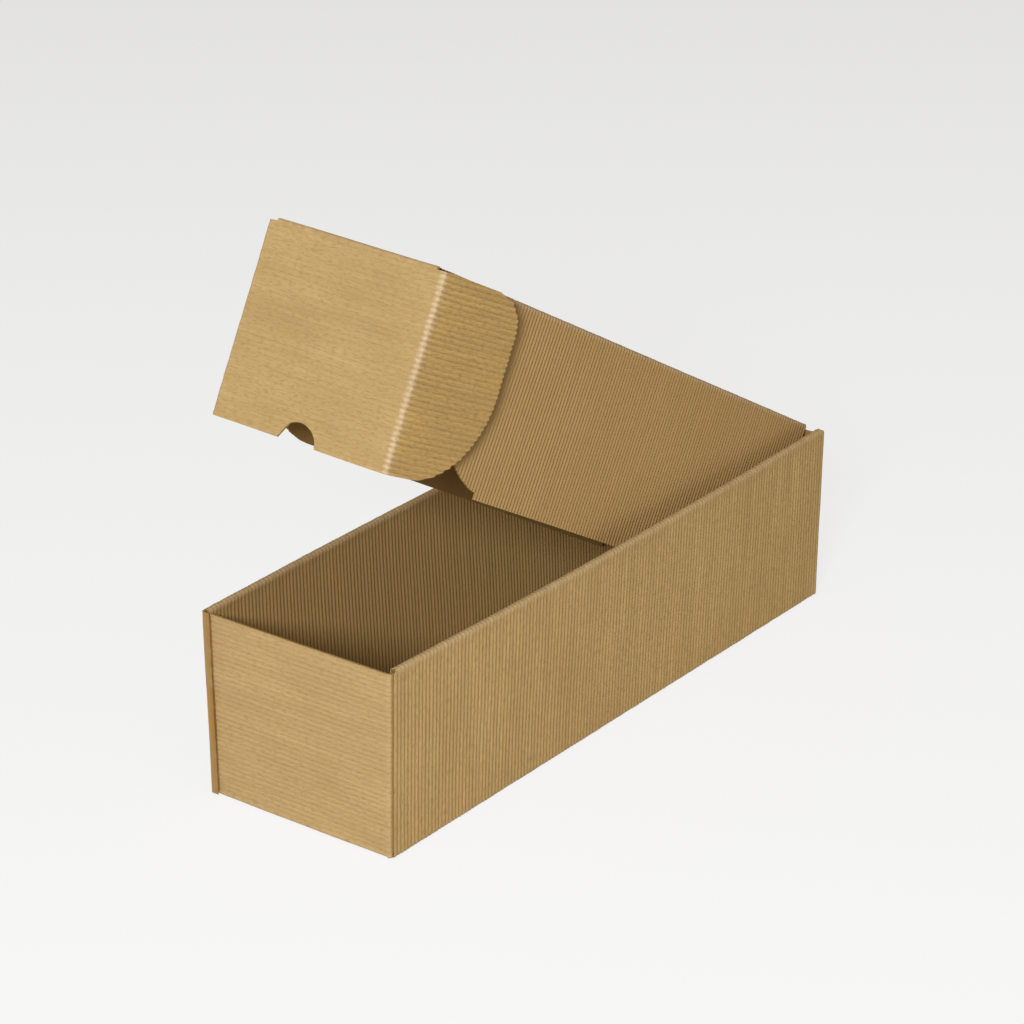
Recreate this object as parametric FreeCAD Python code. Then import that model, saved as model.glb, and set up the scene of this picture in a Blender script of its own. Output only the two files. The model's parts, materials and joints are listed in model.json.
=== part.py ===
"""One-bottle presentation box, folded from a single die-cut sheet of open-flute kraft board.

Millimetres, +Z up. The origin is the centre of the base's underside. +Y points to the end
that carries the lid, and X runs across the box. The box stands open: the lid is raised,
and the tuck flap hangs from the lid's free end with its two ears folded back.

Each node is one solid: "tray" (base, end walls with their corner flaps, and the side walls
that roll over and lock into the base), "lid" (top panel with its two side cheeks) and
"tuck_flap" (front flap with its ears). They are the same sheet, parted at the two creases
that move.
"""
import FreeCAD
import Part

import math
import os
from dataclasses import dataclass
from typing import Callable, List, Tuple

Vector = FreeCAD.Vector
Span = Tuple[float, float]

# ---- the board -----------------------------------------------------------------------
BOARD = 1.4               # thickness of the open-flute board
CREASE_RADIUS = 0.5       # inside radius of a fold
PLY_GAP = 0.1             # air between plies that lie on each other
CUT_GAP = 0.3             # width of the cut that parts two panels at a corner

# ---- the tray ------------------------------------------------------------------------
BOX_LENGTH = 352.6        # outside, along Y
BOX_WIDTH = 109.0         # outside, across X
BOX_HEIGHT = 94.0         # underside of the base to the top of the side walls
END_WALL_GAP = 0.4        # between the near end wall's top and the shut lid
STRIP_SETBACK = 4.0       # the roll-over strip stops this far short of each end
STUB_DROP = 0.6           # the outer ply's bare ends lie this far under the strip
CORNER_FLAP_LENGTH = 58.0 # corner flaps trapped between the side walls' plies
CORNER_FLAP_TAPER = 3.0   # their free ends are cut this much lower
TAB_LENGTH = 30.0         # locking tabs of the inner plies
TAB_SPACING = 170.0       # between the two tabs' middles, along Y
TAB_CHAMFER = 0.5         # lead-in at a tab's lower corners
SLOT_CLEARANCE = 0.2      # round a tab in its slot
EDGE_CLEARANCE = 0.15     # an inner ply's lower edge over the base

# ---- the lid -------------------------------------------------------------------------
LID_DROP = 0.4            # the shut lid's top face lies this far under the side walls' top
HINGE_GAP = 0.2           # between the lid's rounded end and the far wall's top edge
LID_OPEN_ANGLE = 29.6     # degrees between the lid and the tray's rim
CHEEK_CLEARANCE = 2.3     # from a cheek's outer face to the closed ear beside it
CHEEK_FLOOR_CLEARANCE = 2.2
CHEEK_SETBACK = 3.0       # from the lid's crease to the cheeks' rear edge
CHEEK_REAR_SLOPE = 8.0    # a cheek's rear edge leans forward by this at the bottom
CHEEK_CORNER_RADIUS = 56.0

# ---- the tuck flap -------------------------------------------------------------------
TUCK_CLEARANCE = 0.3      # from the closed flap's face to the near wall's inside
TUCK_SIDE_CLEARANCE = 0.4 # from a closed ear's face to the inner ply
TUCK_FLOOR_CLEARANCE = 0.4
TUCK_LEAN_ANGLE = 4.1     # degrees that the flap leans in from square to the lid
TUCK_HINGE_GAP = 0.35     # between the flap's rounded top and the lid panel's end
SHOULDER_CLEARANCE = 0.3  # from a swung-out ear to the near wall's outside
NOTCH_WIDTH = 22.0        # thumb notch in the free edge
NOTCH_DEPTH = 9.4
EAR_LENGTH = 66.5         # from the flap's face to an ear's rear edge
EAR_TOP_SLOPE = 0.05      # fall of an ear's upper edge for each millimetre of length
EAR_TOP_RADIUS = 11.0
EAR_LOWER_RADIUS = 45.0

# ---- worked out from the sizes above ------------------------------------------------
FOLD_RADIUS = CREASE_RADIUS + BOARD              # outside radius of a fold
HALF_LENGTH = BOX_LENGTH / 2
HALF_WIDTH = BOX_WIDTH / 2
SIDE_WALL = 3 * BOARD + 2 * PLY_GAP              # outer ply, corner flap, inner ply
INNER_FACE = HALF_WIDTH - SIDE_WALL              # X of the inner ply's face
END_WALL_FACE = HALF_WIDTH - BOARD - PLY_GAP     # X of a corner flap's outer face
LID_TOP = BOX_HEIGHT - LID_DROP                  # the shut lid's top face
LID_UNDERSIDE = LID_TOP - BOARD
HINGE_Y = HALF_LENGTH - BOARD / 2
HINGE_Z = LID_TOP - BOARD / 2
END_WALL_TOP = LID_UNDERSIDE - END_WALL_GAP
FAR_WALL_TOP = LID_UNDERSIDE - HINGE_GAP
CHEEK_DEPTH = LID_UNDERSIDE - CHEEK_FLOOR_CLEARANCE
TUCK_FACE = -HALF_LENGTH + BOARD + TUCK_CLEARANCE    # Y of the closed flap's outer face
TUCK_Y = TUCK_FACE + BOARD / 2
TUCK_HALF = INNER_FACE - TUCK_SIDE_CLEARANCE     # X of an ear's outer face
TUCK_BOTTOM = BOARD + TUCK_FLOOR_CLEARANCE       # Z of the closed flap's free edge
TUCK_PANEL_END = TUCK_Y + BOARD / 2 + TUCK_HINGE_GAP
SHOULDER_Z = HINGE_Z - (TUCK_Y + HALF_LENGTH) - SHOULDER_CLEARANCE
LID_HALF = TUCK_HALF - BOARD - CHEEK_CLEARANCE   # X of a cheek's outer face

ORIGIN = Vector(0, 0, 0)
X_AXIS = Vector(1, 0, 0)
Y_AXIS = Vector(0, 1, 0)
Z_AXIS = Vector(0, 0, 1)


@dataclass(frozen=True)
class CheekCorner:
    """The cut-back lower front corner of a cheek.

    The front edge stands `front_gap` behind the closed tuck flap. The corner is an arc that
    runs down from that edge, and it ends at a small step in the cheek's lower edge, `length`
    behind the front. The arc would reach its lowest `rise` above the lower edge.
    """

    front_gap: float
    length: float
    rise: float

    @property
    def front(self) -> float:
        """Distance from the lid's crease to the front edge."""
        return HINGE_Y - TUCK_FACE - BOARD - self.front_gap

    @property
    def step(self) -> float:
        """Distance from the lid's crease to the arc's lower end."""
        return self.front - self.length


RIGHT_CORNER = CheekCorner(front_gap=34.8, length=45.0, rise=2.0)
LEFT_CORNER = CheekCorner(front_gap=17.8, length=CHEEK_CORNER_RADIUS, rise=0.0)


# ---- shapes --------------------------------------------------------------------------
def slab(x: Span, y: Span, z: Span) -> Part.Shape:
    """Return a box that fills the three spans."""
    return Part.makeBox(x[1] - x[0], y[1] - y[0], z[1] - z[0], Vector(x[0], y[0], z[0]))


def plate(edges: List[Part.Edge], thickness: Vector) -> Part.Shape:
    """Return the closed outline `edges` extruded by the vector `thickness`."""
    return Part.Face(Part.Wire(edges)).extrude(thickness)


def polyline(points: List[Vector]) -> List[Part.Edge]:
    """Return the straight edges through `points`, left open."""
    return [Part.LineSegment(a, b).toShape() for a, b in zip(points, points[1:])]


def fold(corner: Vector, along: Vector, through: Vector, pivot: Vector, turn: float) -> Part.Shape:
    """Return the bend of a fold.

    The board's end face is the rectangle from `corner` that `along` and `through` span. It
    turns by `turn` degrees about the line through `pivot` in the direction of `along`.
    """
    ring = [corner, corner + along, corner + along + through, corner + through, corner]
    return Part.Face(Part.makePolygon(ring)).revolve(pivot, along, turn)


def one_solid(shapes: List[Part.Shape]) -> Part.Shape:
    """Return the shapes fused to one solid, with no seams left between coplanar faces."""
    fused = shapes[0].multiFuse(shapes[1:]).removeSplitter()
    return fused.Solids[0] if len(fused.Solids) == 1 else fused


def mirrored_x(shape: Part.Shape) -> Part.Shape:
    """Return the shape's mirror image across the box's middle plane."""
    return shape.mirror(ORIGIN, X_AXIS)


# ---- tray ----------------------------------------------------------------------------
def base_panel() -> Part.Shape:
    """Return the base, with the four slots that take the inner plies' tabs."""
    half_x = HALF_WIDTH - FOLD_RADIUS
    half_y = HALF_LENGTH - FOLD_RADIUS
    panel = slab((-half_x, half_x), (-half_y, half_y), (0, BOARD))
    slot_x = (INNER_FACE - SLOT_CLEARANCE, INNER_FACE + BOARD + SLOT_CLEARANCE)
    half_slot = TAB_LENGTH / 2 + SLOT_CLEARANCE
    for middle in (-TAB_SPACING / 2, TAB_SPACING / 2):
        slot = slab(slot_x, (middle - half_slot, middle + half_slot), (0, BOARD))
        panel = panel.cut([slot, mirrored_x(slot)])
    return panel


def locking_tab(middle: float) -> Part.Shape:
    """Return one tab of the right inner ply, which passes down through the base."""
    top = BOARD + EDGE_CLEARANCE
    half = TAB_LENGTH / 2
    outline = [
        Vector(INNER_FACE, middle - half, top),
        Vector(INNER_FACE, middle - half, TAB_CHAMFER + EDGE_CLEARANCE),
        Vector(INNER_FACE, middle - half + TAB_CHAMFER, EDGE_CLEARANCE),
        Vector(INNER_FACE, middle + half - TAB_CHAMFER, EDGE_CLEARANCE),
        Vector(INNER_FACE, middle + half, TAB_CHAMFER + EDGE_CLEARANCE),
        Vector(INNER_FACE, middle + half, top),
        Vector(INNER_FACE, middle - half, top),
    ]
    return plate(polyline(outline), X_AXIS * BOARD)


def right_side_wall() -> List[Part.Shape]:
    """Return the right side wall: fold, outer ply, roll-over strip, inner ply and tabs."""
    fold_half = HALF_LENGTH - FOLD_RADIUS - CUT_GAP
    strip_half = HALF_LENGTH - STRIP_SETBACK
    outer_x = (HALF_WIDTH - BOARD, HALF_WIDTH)
    pivot_x = HALF_WIDTH - FOLD_RADIUS
    inner_pivot_x = INNER_FACE + FOLD_RADIUS
    top_pivot_z = BOX_HEIGHT - FOLD_RADIUS

    base_fold = fold(Vector(pivot_x, -fold_half, 0), Y_AXIS * 2 * fold_half, Z_AXIS * BOARD,
                     Vector(pivot_x, 0, FOLD_RADIUS), -90)
    outer_ply = slab(outer_x, (-HALF_LENGTH, HALF_LENGTH), (FOLD_RADIUS, top_pivot_z))
    stubs = []
    for end in (-1, 1):
        bare = sorted((end * strip_half, end * HALF_LENGTH))
        foot = sorted((end * (fold_half + CUT_GAP), end * HALF_LENGTH))
        stubs.append(slab(outer_x, bare, (top_pivot_z, BOX_HEIGHT - STUB_DROP)))
        stubs.append(slab(outer_x, foot, (CUT_GAP, FOLD_RADIUS)))
    top_fold = fold(Vector(HALF_WIDTH - BOARD, -strip_half, top_pivot_z),
                    Y_AXIS * 2 * strip_half, X_AXIS * BOARD,
                    Vector(pivot_x, 0, top_pivot_z), -90)
    strip = slab((inner_pivot_x, pivot_x), (-strip_half, strip_half),
                 (BOX_HEIGHT - BOARD, BOX_HEIGHT))
    inner_fold = fold(Vector(inner_pivot_x, -strip_half, BOX_HEIGHT - BOARD),
                      Y_AXIS * 2 * strip_half, Z_AXIS * BOARD,
                      Vector(inner_pivot_x, 0, top_pivot_z), -90)
    inner_ply = slab((INNER_FACE, INNER_FACE + BOARD), (-strip_half, strip_half),
                     (BOARD + EDGE_CLEARANCE, top_pivot_z))
    tabs = [locking_tab(middle) for middle in (-TAB_SPACING / 2, TAB_SPACING / 2)]
    return [base_fold, outer_ply, *stubs, top_fold, strip, inner_fold, inner_ply, *tabs]


def corner_flap(root_y: float, top: float) -> Part.Shape:
    """Return the near right corner flap, from its fold at `root_y` to its tapered end."""
    foot = FOLD_RADIUS + CUT_GAP
    free_y = root_y + CORNER_FLAP_LENGTH
    inner_x = END_WALL_FACE - BOARD
    outline = [
        Vector(inner_x, root_y, foot),
        Vector(inner_x, free_y, foot + CORNER_FLAP_TAPER),
        Vector(inner_x, free_y, top - CORNER_FLAP_TAPER),
        Vector(inner_x, root_y, top),
        Vector(inner_x, root_y, foot),
    ]
    return plate(polyline(outline), X_AXIS * BOARD)


def near_end_wall(top: float) -> List[Part.Shape]:
    """Return an end wall in the near end's place, with its base fold and corner flaps."""
    pivot_y = -HALF_LENGTH + FOLD_RADIUS
    pivot_x = END_WALL_FACE - FOLD_RADIUS
    fold_half = HALF_WIDTH - FOLD_RADIUS - CUT_GAP
    foot = FOLD_RADIUS + CUT_GAP
    flap_top = min(top, END_WALL_TOP)
    base_fold = fold(Vector(-fold_half, pivot_y, 0), X_AXIS * 2 * fold_half, Z_AXIS * BOARD,
                     Vector(0, pivot_y, FOLD_RADIUS), -90)
    face_y = (-HALF_LENGTH, -HALF_LENGTH + BOARD)
    lower_panel = slab((-pivot_x, pivot_x), face_y, (FOLD_RADIUS, foot))
    panel = slab((-pivot_x, pivot_x), face_y, (foot, top))
    corner_fold = fold(Vector(pivot_x, -HALF_LENGTH, foot), Z_AXIS * (flap_top - foot),
                       Y_AXIS * BOARD, Vector(pivot_x, pivot_y, 0), 90)
    flap = corner_flap(pivot_y, flap_top)
    return [base_fold, lower_panel, panel, corner_fold, flap,
            mirrored_x(corner_fold), mirrored_x(flap)]


def tray() -> Part.Shape:
    """Return the folded tray as one solid."""
    right = right_side_wall()
    left = [mirrored_x(piece) for piece in right]
    near = near_end_wall(END_WALL_TOP)
    far = [piece.mirror(ORIGIN, Y_AXIS) for piece in near_end_wall(FAR_WALL_TOP)]
    return one_solid([base_panel(), *right, *left, *near, *far])


# ---- lid, modelled shut --------------------------------------------------------------
def cheek(corner: CheekCorner) -> Part.Shape:
    """Return the right cheek of the shut lid, with the given lower front corner."""
    radius = CHEEK_CORNER_RADIUS
    inner_x = LID_HALF - BOARD
    centre_u = corner.front - radius
    centre_v = CHEEK_DEPTH - corner.rise - radius

    def at(u: float, v: float) -> Vector:
        """Place a point `u` from the lid's crease and `v` under its top face."""
        return Vector(inner_x, HINGE_Y - u, LID_TOP - v)

    def on_corner(angle: float) -> Vector:
        """Place a point of the corner's arc, `angle` radians round from the front."""
        return at(centre_u + radius * math.cos(angle), centre_v + radius * math.sin(angle))

    arc_end = math.acos((corner.step - centre_u) / radius)
    arc = Part.Arc(on_corner(0), on_corner(arc_end / 2), on_corner(arc_end)).toShape()
    before_arc = polyline([
        at(CHEEK_SETBACK + CHEEK_REAR_SLOPE, CHEEK_DEPTH),
        at(CHEEK_SETBACK, FOLD_RADIUS),
        at(corner.front, FOLD_RADIUS),
        on_corner(0),
    ])
    after_arc = polyline([
        at(corner.step, CHEEK_DEPTH),
        at(CHEEK_SETBACK + CHEEK_REAR_SLOPE, CHEEK_DEPTH),
    ])
    step = []
    if (on_corner(arc_end) - at(corner.step, CHEEK_DEPTH)).Length > CUT_GAP:
        step = polyline([on_corner(arc_end), at(corner.step, CHEEK_DEPTH)])
    return plate([*before_arc, arc, *step, *after_arc], X_AXIS * BOARD)


def cheek_with_fold(corner: CheekCorner) -> List[Part.Shape]:
    """Return a right cheek and the fold that joins it to the lid panel."""
    pivot_x = LID_HALF - FOLD_RADIUS
    length = corner.front - CHEEK_SETBACK
    bend = fold(Vector(pivot_x, HINGE_Y - corner.front, LID_UNDERSIDE), Y_AXIS * length,
                Z_AXIS * BOARD, Vector(pivot_x, 0, LID_TOP - FOLD_RADIUS), 90)
    return [bend, cheek(corner)]


def lid() -> Part.Shape:
    """Return the shut lid: panel, round hinge edge and two cheeks."""
    half_panel = LID_HALF - FOLD_RADIUS
    panel = slab((-half_panel, half_panel), (TUCK_PANEL_END, HINGE_Y),
                 (LID_UNDERSIDE, LID_TOP))
    hinge_edge = Part.makeCylinder(BOARD / 2, 2 * half_panel,
                                   Vector(-half_panel, HINGE_Y, HINGE_Z), X_AXIS)
    right = cheek_with_fold(RIGHT_CORNER)
    left = [mirrored_x(piece) for piece in cheek_with_fold(LEFT_CORNER)]
    return one_solid([panel, hinge_edge, *right, *left])


# ---- tuck flap, modelled square to the shut lid --------------------------------------
def thumb_notch() -> Part.Shape:
    """Return the round cutter for the notch in the flap's free edge."""
    radius = ((NOTCH_WIDTH / 2) ** 2 + NOTCH_DEPTH ** 2) / (2 * NOTCH_DEPTH)
    centre = Vector(0, TUCK_FACE, TUCK_BOTTOM + NOTCH_DEPTH - radius)
    return Part.makeCylinder(radius, BOARD, centre, Y_AXIS)


def flap_panel() -> Part.Shape:
    """Return the flap between its ears' folds, with sloping shoulders and thumb notch."""
    half_crease = LID_HALF - FOLD_RADIUS
    half_panel = TUCK_HALF - FOLD_RADIUS
    outline = [
        Vector(-half_crease, TUCK_FACE, HINGE_Z),
        Vector(half_crease, TUCK_FACE, HINGE_Z),
        Vector(half_panel, TUCK_FACE, SHOULDER_Z),
        Vector(half_panel, TUCK_FACE, TUCK_BOTTOM),
        Vector(-half_panel, TUCK_FACE, TUCK_BOTTOM),
        Vector(-half_panel, TUCK_FACE, SHOULDER_Z),
        Vector(-half_crease, TUCK_FACE, HINGE_Z),
    ]
    return plate(polyline(outline), Y_AXIS * BOARD).cut(thumb_notch())


def ear() -> Part.Shape:
    """Return the right ear's flat part, with a small upper and a large lower round."""
    inner_x = TUCK_HALF - BOARD
    front_y = TUCK_FACE + FOLD_RADIUS
    rear_y = TUCK_FACE + EAR_LENGTH
    rear_z = SHOULDER_Z - EAR_TOP_SLOPE * (rear_y - front_y)
    outline = [
        Vector(inner_x, front_y, SHOULDER_Z),
        Vector(inner_x, rear_y, rear_z),
        Vector(inner_x, rear_y, TUCK_BOTTOM),
        Vector(inner_x, front_y, TUCK_BOTTOM),
        Vector(inner_x, front_y, SHOULDER_Z),
    ]
    blank = plate(polyline(outline), X_AXIS * BOARD)
    blank = rounded(blank, lambda edge: edge.CenterOfMass.z > HINGE_Z / 2, EAR_TOP_RADIUS)
    return rounded(blank, lambda edge: edge.CenterOfMass.z < HINGE_Z / 2, EAR_LOWER_RADIUS)


def rounded(blank: Part.Shape, wanted: Callable[[Part.Edge], bool], radius: float) -> Part.Shape:
    """Round the rear edge across the ear's thickness that `wanted` picks."""
    rear_y = TUCK_FACE + EAR_LENGTH
    across = [edge for edge in blank.Edges
              if abs(edge.Length - BOARD) < CUT_GAP
              and abs(edge.CenterOfMass.y - rear_y) < CUT_GAP and wanted(edge)]
    return blank.makeFillet(radius, across)


def tuck_flap() -> Part.Shape:
    """Return the tuck flap with its round crease edge and both ears folded back."""
    pivot = Vector(TUCK_HALF - FOLD_RADIUS, TUCK_FACE + FOLD_RADIUS, 0)
    ear_fold = fold(Vector(pivot.x, TUCK_FACE, TUCK_BOTTOM),
                    Z_AXIS * (SHOULDER_Z - TUCK_BOTTOM), Y_AXIS * BOARD, pivot, 90)
    right = [ear_fold, ear()]
    half_crease = LID_HALF - FOLD_RADIUS
    crease_edge = Part.makeCylinder(BOARD / 2, 2 * half_crease,
                                    Vector(-half_crease, TUCK_Y, HINGE_Z), X_AXIS)
    return one_solid([flap_panel(), crease_edge, *right, *[mirrored_x(p) for p in right]])


# ---- the box as it stands ------------------------------------------------------------
def opened(shape: Part.Shape) -> Part.Shape:
    """Swing a shape of the shut lid up to the lid's open angle."""
    raised = shape.copy()
    raised.rotate(Vector(0, HINGE_Y, HINGE_Z), X_AXIS, -LID_OPEN_ANGLE)
    return raised


def leaned(shape: Part.Shape) -> Part.Shape:
    """Swing the square tuck flap in under the lid by its lean."""
    turned = shape.copy()
    turned.rotate(Vector(0, TUCK_Y, HINGE_Z), X_AXIS, TUCK_LEAN_ANGLE)
    return turned


def main() -> None:
    """Build the three nodes and write one STEP file for each."""
    nodes = {
        "tray": tray(),
        "lid": opened(lid()),
        "tuck_flap": opened(leaned(tuck_flap())),
    }
    os.makedirs("parts", exist_ok=True)
    for name, shape in nodes.items():
        box = shape.BoundBox
        shape.exportStep(f"parts/{name}.step")
        print(f"{name}: {len(shape.Solids)} solid, valid {shape.isValid()}, "
              f"volume {shape.Volume:.0f} mm3, "
              f"X {box.XMin:.1f}..{box.XMax:.1f}, Y {box.YMin:.1f}..{box.YMax:.1f}, "
              f"Z {box.ZMin:.1f}..{box.ZMax:.1f}")


main()
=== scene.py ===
"""Looks of a one-bottle presentation box, folded from one die-cut sheet of open-flute kraft board.

The board is made as its two paper layers: a flat liner inside and a waved fluting paper outside.
One pitch of each layer is folded, repeated along the board, cut to its outline and given the
paper's thickness. Sizes are in millimetres until a piece is finished, and then in metres.
"""

import json
import logging
import math
from dataclasses import dataclass, field
from enum import Enum
from typing import Callable, Dict, List, Optional, Sequence, Tuple, Union

import bmesh
import bpy
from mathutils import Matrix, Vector


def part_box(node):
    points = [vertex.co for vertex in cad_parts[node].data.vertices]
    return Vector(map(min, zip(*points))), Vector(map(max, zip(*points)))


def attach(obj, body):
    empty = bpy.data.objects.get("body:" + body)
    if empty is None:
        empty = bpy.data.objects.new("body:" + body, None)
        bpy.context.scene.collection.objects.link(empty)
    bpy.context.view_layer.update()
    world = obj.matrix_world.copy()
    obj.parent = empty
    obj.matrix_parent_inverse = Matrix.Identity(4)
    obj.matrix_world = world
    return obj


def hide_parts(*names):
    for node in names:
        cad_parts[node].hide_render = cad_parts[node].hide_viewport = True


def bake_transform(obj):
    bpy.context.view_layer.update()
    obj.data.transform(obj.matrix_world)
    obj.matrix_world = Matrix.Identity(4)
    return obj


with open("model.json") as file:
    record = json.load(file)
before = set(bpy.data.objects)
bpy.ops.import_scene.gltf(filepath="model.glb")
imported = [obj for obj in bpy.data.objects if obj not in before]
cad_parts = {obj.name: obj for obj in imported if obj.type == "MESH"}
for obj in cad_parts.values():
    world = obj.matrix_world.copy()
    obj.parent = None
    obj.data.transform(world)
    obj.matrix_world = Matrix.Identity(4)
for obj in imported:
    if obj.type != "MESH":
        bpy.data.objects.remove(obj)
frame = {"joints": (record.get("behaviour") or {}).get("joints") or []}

bpy.context.view_layer.update()
LOG = logging.getLogger("wine_box")
MM = 0.001
ORIGIN = (0, 0, 0)
TOUCHING = 0.01
CLOSE = 0.02
NEARBY = 0.05
WELD = 0.0005
SLOT = "kraft_board"

Span = Tuple[float, float]
Colour = Tuple[float, float, float]
Feed = Union[bpy.types.NodeSocket, Sequence[float], float]
PlaceTest = Callable[[Vector], bool]


class Axis(Enum):
    """The frame's three directions."""

    X = (1.0, 0.0, 0.0)
    Y = (0.0, 1.0, 0.0)
    Z = (0.0, 0.0, 1.0)


class Side(Enum):
    """The two sides of the box, seen from the end that opens."""

    LEFT = -1
    RIGHT = 1


# ---- the bench: edit-mode work on the piece in hand ---------------------------------------------
class Bench:
    """The piece in hand and the tools that shape it in edit mode."""

    def __init__(self, piece: bpy.types.Object) -> None:
        """Take a piece in hand.

        Args:
            piece: the mesh object to work on.
        """
        self.piece = piece
        Bench.clear()
        piece.select_set(True)
        bpy.context.view_layer.objects.active = piece

    def __enter__(self) -> "Bench":
        """Open the piece's mesh for editing."""
        bpy.ops.object.mode_set(mode="EDIT")
        bpy.ops.mesh.select_mode(type="VERT")
        return self

    def __exit__(self, *_: object) -> None:
        """Close the piece's mesh."""
        bpy.ops.object.mode_set(mode="OBJECT")

    @staticmethod
    def clear() -> None:
        """Put every object down."""
        if bpy.context.object and bpy.context.object.mode != "OBJECT":
            bpy.ops.object.mode_set(mode="OBJECT")
        bpy.ops.object.select_all(action="DESELECT")

    def _select(self, kind: str, items: str, place: Callable[[object], Vector],
                test: PlaceTest) -> int:
        """Select the mesh's items of one kind whose place passes a test.

        Args:
            kind: the select mode of that kind.
            items: the name of the mesh's list of them.
            place: gives an item's place.
            test: says of a place whether it is selected.

        Returns:
            How many items are selected.
        """
        bpy.ops.mesh.select_mode(type=kind)
        bpy.ops.mesh.select_all(action="DESELECT")
        mesh = bmesh.from_edit_mesh(self.piece.data)
        chosen = [item for item in getattr(mesh, items) if test(place(item))]
        for item in chosen:
            item.select = True
        mesh.select_flush_mode()
        bmesh.update_edit_mesh(self.piece.data, loop_triangles=False, destructive=False)
        return len(chosen)

    def pick(self, test: PlaceTest) -> None:
        """Select the points whose place passes a test."""
        self._select("VERT", "verts", lambda vert: vert.co, test)

    def pick_faces(self, test: PlaceTest) -> int:
        """Select the faces whose middle passes a test, and return how many there are."""
        return self._select("FACE", "faces", lambda face: face.calc_center_median(), test)

    def all(self) -> "Bench":
        """Select the whole mesh, and return the bench."""
        bpy.ops.mesh.select_all(action="SELECT")
        return self

    def middle(self) -> Vector:
        """Return the middle of the box round the selected points."""
        mesh = bmesh.from_edit_mesh(self.piece.data)
        places = [vert.co for vert in mesh.verts if vert.select]
        return Vector([(min(axis) + max(axis)) / 2 for axis in zip(*places)])

    def move(self, offset: Sequence[float]) -> None:
        """Move what is selected by an offset."""
        bpy.ops.transform.translate(value=tuple(offset))

    def turn(self, axis: Axis, degrees: float, centre: Sequence[float]) -> None:
        """Turn what is selected, right-handed, about an axis through a centre.

        Args:
            axis: the direction of the axis.
            degrees: how far to turn.
            centre: a point on the axis.
        """
        bpy.ops.transform.rotate(value=-math.radians(degrees), orient_axis=axis.name,
                                 center_override=tuple(centre))

    def scale(self, factors: Sequence[float], centre: Sequence[float]) -> None:
        """Scale what is selected about a centre."""
        bpy.ops.transform.resize(value=tuple(factors), center_override=tuple(centre))

    def pull(self, offset: Sequence[float]) -> None:
        """Extrude what is selected by an offset."""
        bpy.ops.mesh.extrude_region_move(TRANSFORM_OT_translate={"value": tuple(offset)})

    def sweep(self, axis: Axis, degrees: float, centre: Sequence[float], steps: int) -> None:
        """Extrude what is selected round an axis, right-handed.

        Args:
            axis: the direction of the axis.
            degrees: how far to go round.
            centre: a point on the axis.
            steps: how many faces the arc has.
        """
        bpy.ops.mesh.spin(steps=steps, angle=-math.radians(degrees), center=tuple(centre),
                          axis=axis.value)

    def cut(self, point: Sequence[float], normal: Sequence[float], drop: bool = True) -> None:
        """Cut what is selected along a plane.

        Args:
            point: a point on the plane.
            normal: the plane's direction; what lies beyond it is dropped.
            drop: False keeps both sides.
        """
        bpy.ops.mesh.bisect(plane_co=tuple(point), plane_no=tuple(Vector(normal).normalized()),
                            clear_outer=drop, threshold=WELD)

    def trim(self, test: PlaceTest, point: Sequence[float], normal: Sequence[float]) -> None:
        """Cut the faces that pass a test along a plane, and drop what lies beyond it."""
        if self.pick_faces(test):
            self.cut(point, normal)

    def round_off(self, test: PlaceTest, centre: Vector, radius: float, angles: Sequence[float],
                  start: Vector, end: Vector) -> None:
        """Trim the faces that pass a test to an arc.

        Args:
            test: says of a place whether its face is trimmed.
            centre: the arc's centre.
            radius: the arc's radius.
            angles: degrees from the arc's start to the middle of each facet.
            start: the way from the centre to the arc's start.
            end: the way from the centre to its end.
        """
        for angle in map(math.radians, angles):
            way = start * math.cos(angle) + end * math.sin(angle)
            self.trim(test, centre + way * radius, way)

    def begin_marks(self, **marks: float) -> None:
        """Write a first value of each named attribute at every point."""
        for name, value in marks.items():
            self.mark(name, value, lambda co: True)

    def mark(self, name: str, value: float, test: Optional[PlaceTest] = None) -> None:
        """Write a value into a named attribute.

        Args:
            name: the attribute's name.
            value: what is written.
            test: says which places get it; without one the selected points do.
        """
        mesh = bmesh.from_edit_mesh(self.piece.data)
        layer = mesh.verts.layers.float.get(name) or mesh.verts.layers.float.new(name)
        for vert in mesh.verts:
            if test(vert.co) if test else vert.select:
                vert[layer] = value
        bmesh.update_edit_mesh(self.piece.data, loop_triangles=False, destructive=False)


def measured(piece: bpy.types.Object, name: str, rule: Callable[[Vector], float]) -> None:
    """Write a value that a rule gives for each point's place into a named attribute.

    Args:
        piece: the mesh object.
        name: the attribute's name.
        rule: gives the value.
    """
    layer = piece.data.attributes.new(name, "FLOAT", "POINT")
    layer.data.foreach_set("value", [rule(vert.co) for vert in piece.data.vertices])


def apply_modifier(piece: bpy.types.Object, kind: str, **settings: object) -> None:
    """Give a piece a modifier and apply it.

    Args:
        piece: the object.
        kind: the modifier's type.
        settings: its settings by name.
    """
    modifier = piece.modifiers.new(kind.title(), kind)
    for name, value in settings.items():
        setattr(modifier, name, value)
    Bench(piece)
    bpy.ops.object.modifier_apply(modifier=modifier.name)


def joined(pieces: Sequence[bpy.types.Object], name: str) -> bpy.types.Object:
    """Join pieces into the first one.

    Args:
        pieces: the objects; all but the first are used up.
        name: the joined object's name.

    Returns:
        The joined object.
    """
    Bench(pieces[0])
    for piece in pieces[1:]:
        piece.select_set(True)
    if len(pieces) > 1:
        bpy.ops.object.join()
    pieces[0].name = name
    pieces[0].data.name = name
    return pieces[0]


def facets(count: int) -> List[float]:
    """Return the angles, in degrees, at the middles of a quarter circle's facets."""
    return [90 * (index + 0.5) / count for index in range(count)]


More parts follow.
